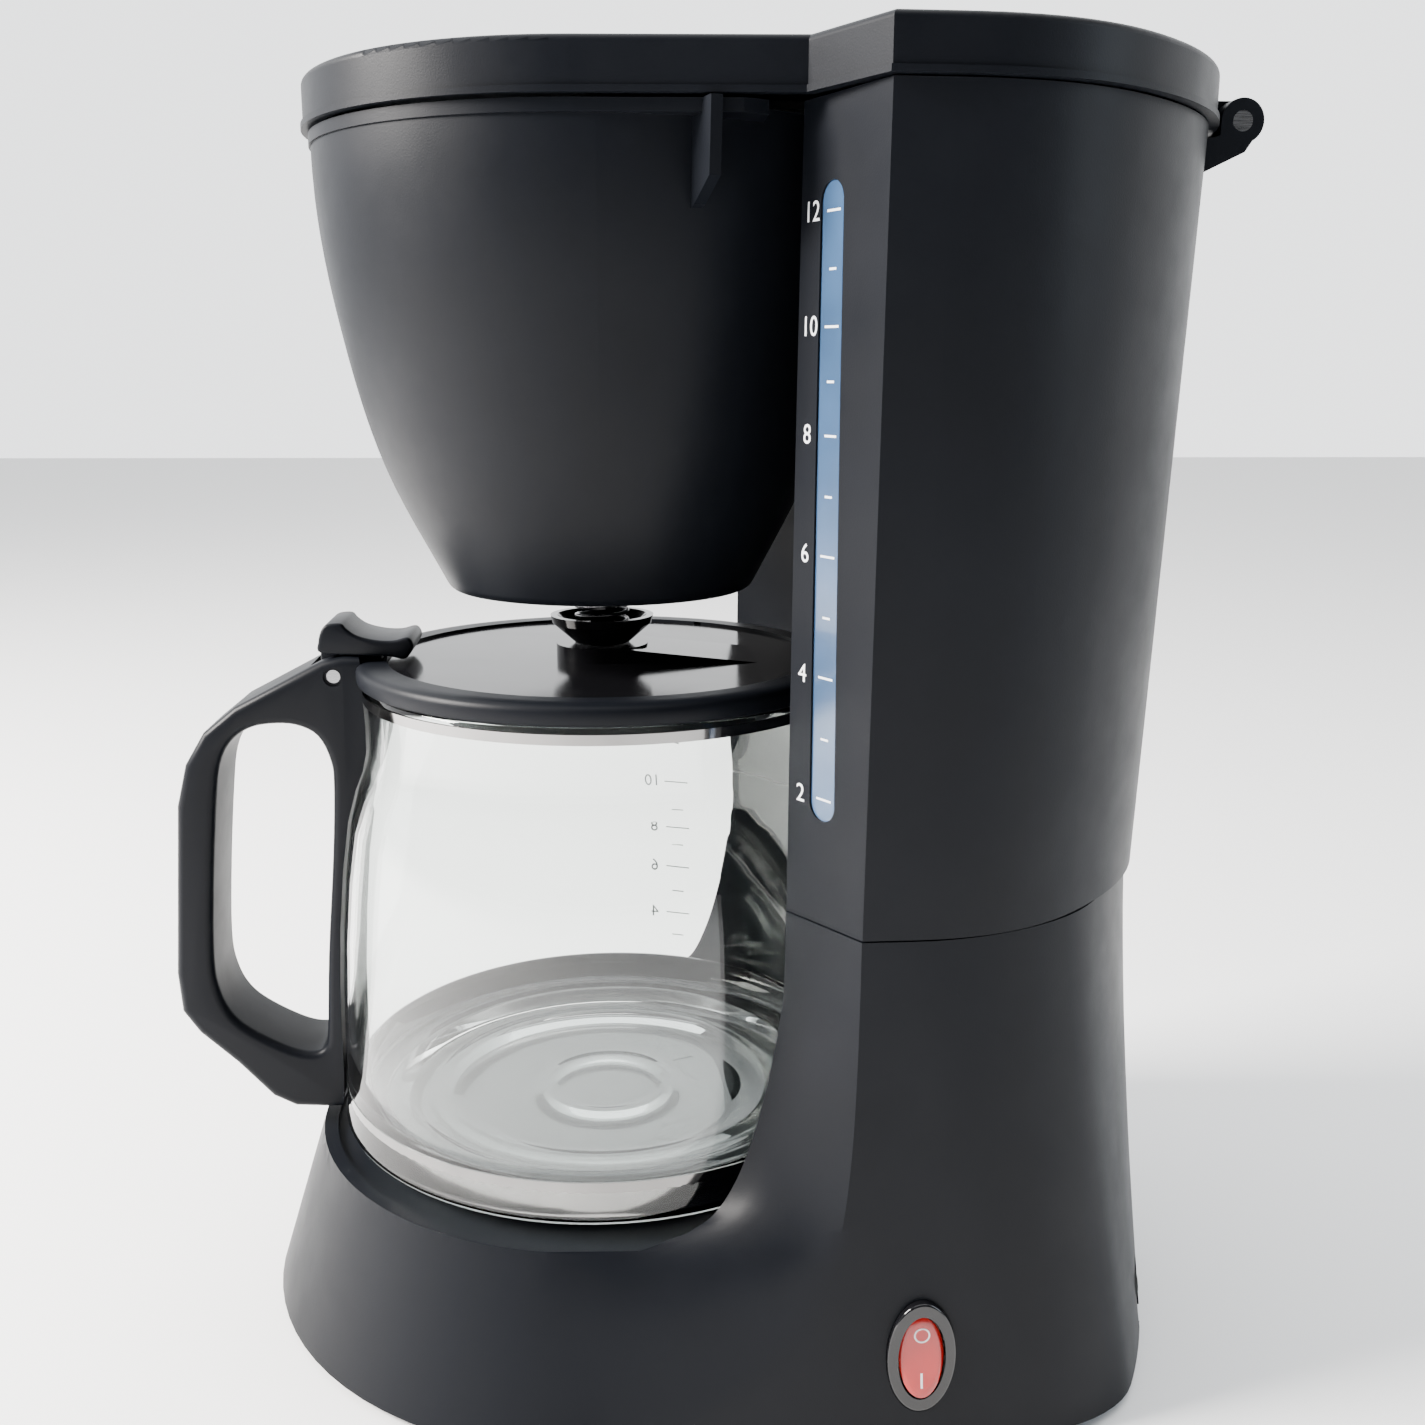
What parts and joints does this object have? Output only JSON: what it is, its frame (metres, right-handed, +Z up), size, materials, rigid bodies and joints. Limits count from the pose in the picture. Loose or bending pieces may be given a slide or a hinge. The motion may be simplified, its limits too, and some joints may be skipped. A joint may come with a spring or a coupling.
{
  "type": "drip coffee maker",
  "caption": "Drip coffee maker with hinged tank lid, swing-out filter basket with drip valve, glass jug on a hot plate, level gauge and rocker switch.",
  "frame": {"origin": "middle of the bounding box, on the surface that the rubber feet stand on", "axes": "+Z up; -Y to the front, where the jug handle points; +X to the side with the switch and water gauge"},
  "size_m": [0.1972, 0.2745, 0.3185],
  "materials": {
    "housing_black": "fine-grain satin black plastic",
    "gloss_black": "polished black plastic",
    "rubber": "soft black rubber",
    "silicone": "translucent silicone",
    "steel": "brushed stainless steel",
    "polished_steel": "mirror-polished stainless steel",
    "spring_steel": "drawn spring wire",
    "aluminium": "cast aluminium",
    "plate_coating": "dark non-stick coating",
    "glass": "clear borosilicate glass",
    "gauge_blue": "translucent blue plastic",
    "rocker_red": "translucent red plastic",
    "brass": "plated brass",
    "white_plastic": "heat-resistant white plastic"
  },
  "bodies": {
    "housing": {"base_shell": "housing_black", "bottom_cover": "housing_black", "rubber_feet": "rubber", "bottom_screws": "steel", "hot_plate": "plate_coating", "heat_spreader": "aluminium", "heater_sheath": "aluminium", "heater_water_tube": "aluminium", "element_clamp": "steel", "thermostat": "white_plastic", "thermal_fuses": "steel", "element_terminals": "brass", "cold_water_hose": "silicone", "hot_water_hose": "silicone", "hose_clamps": "steel", "check_valve_ball": "white_plastic", "tower_shell": "housing_black", "water_gauge_window": "gauge_blue", "riser_and_spout": "white_plastic", "lid_hinge_pin": "steel", "basket_pivot_pin": "steel", "switch_bezel": "gloss_black", "switch_body": "white_plastic", "switch_terminals": "brass", "cord_gland": "rubber", "terminal_block": "white_plastic"},
    "lid": {"tank_lid": "housing_black"},
    "basket": {"filter_basket": "housing_black", "drip_valve_spring": "spring_steel"},
    "drip_valve": {"drip_valve_plunger": "gloss_black", "drip_valve_seal": "silicone"},
    "jug": {"jug_glass": "glass", "jug_base_band": "polished_steel", "jug_neck_band": "polished_steel", "jug_handle": "housing_black", "jug_lid_pin": "steel"},
    "jug_lid": {"jug_lid": "housing_black", "jug_lid_well": "gloss_black"},
    "rocker": {"switch_rocker": "rocker_red"}
  },
  "joints": [
    {"name": "lid_hinge", "type": "hinge", "parent": "housing", "child": "lid", "pos_m": [0, 0.13205, 0.3095], "axis": [-1, 0, 0], "range_deg": [0, 95]},
    {"name": "basket_swing", "type": "hinge", "parent": "housing", "child": "basket", "pos_m": [-0.074, 0.01725, 0.282], "axis": [0, 0, -1], "range_deg": [0, 90]},
    {"name": "drip_valve_lift", "type": "slide", "parent": "basket", "child": "drip_valve", "axis": [0, 0, 1], "range_m": [0, 0.0043], "deforming": ["drip_valve_spring"]},
    {"name": "jug_slide", "type": "slide", "parent": "housing", "child": "jug", "axis": [0, -1, 0], "range_m": [0, 0.2]},
    {"name": "jug_lid_hinge", "type": "hinge", "parent": "jug", "child": "jug_lid", "pos_m": [0, -0.09075, 0.1734], "axis": [1, 0, 0], "range_deg": [0, 3.2]},
    {"name": "rocker_tilt", "type": "hinge", "parent": "housing", "child": "rocker", "pos_m": [0.08795, 0.05225, 0.0243], "axis": [0, 1, 0], "range_deg": [0, 14]}
  ],
  "couplings": [
    {"joint": "drip_valve_lift", "follows": "jug_lid_hinge", "m_per_rad": 0.074}
  ]
}
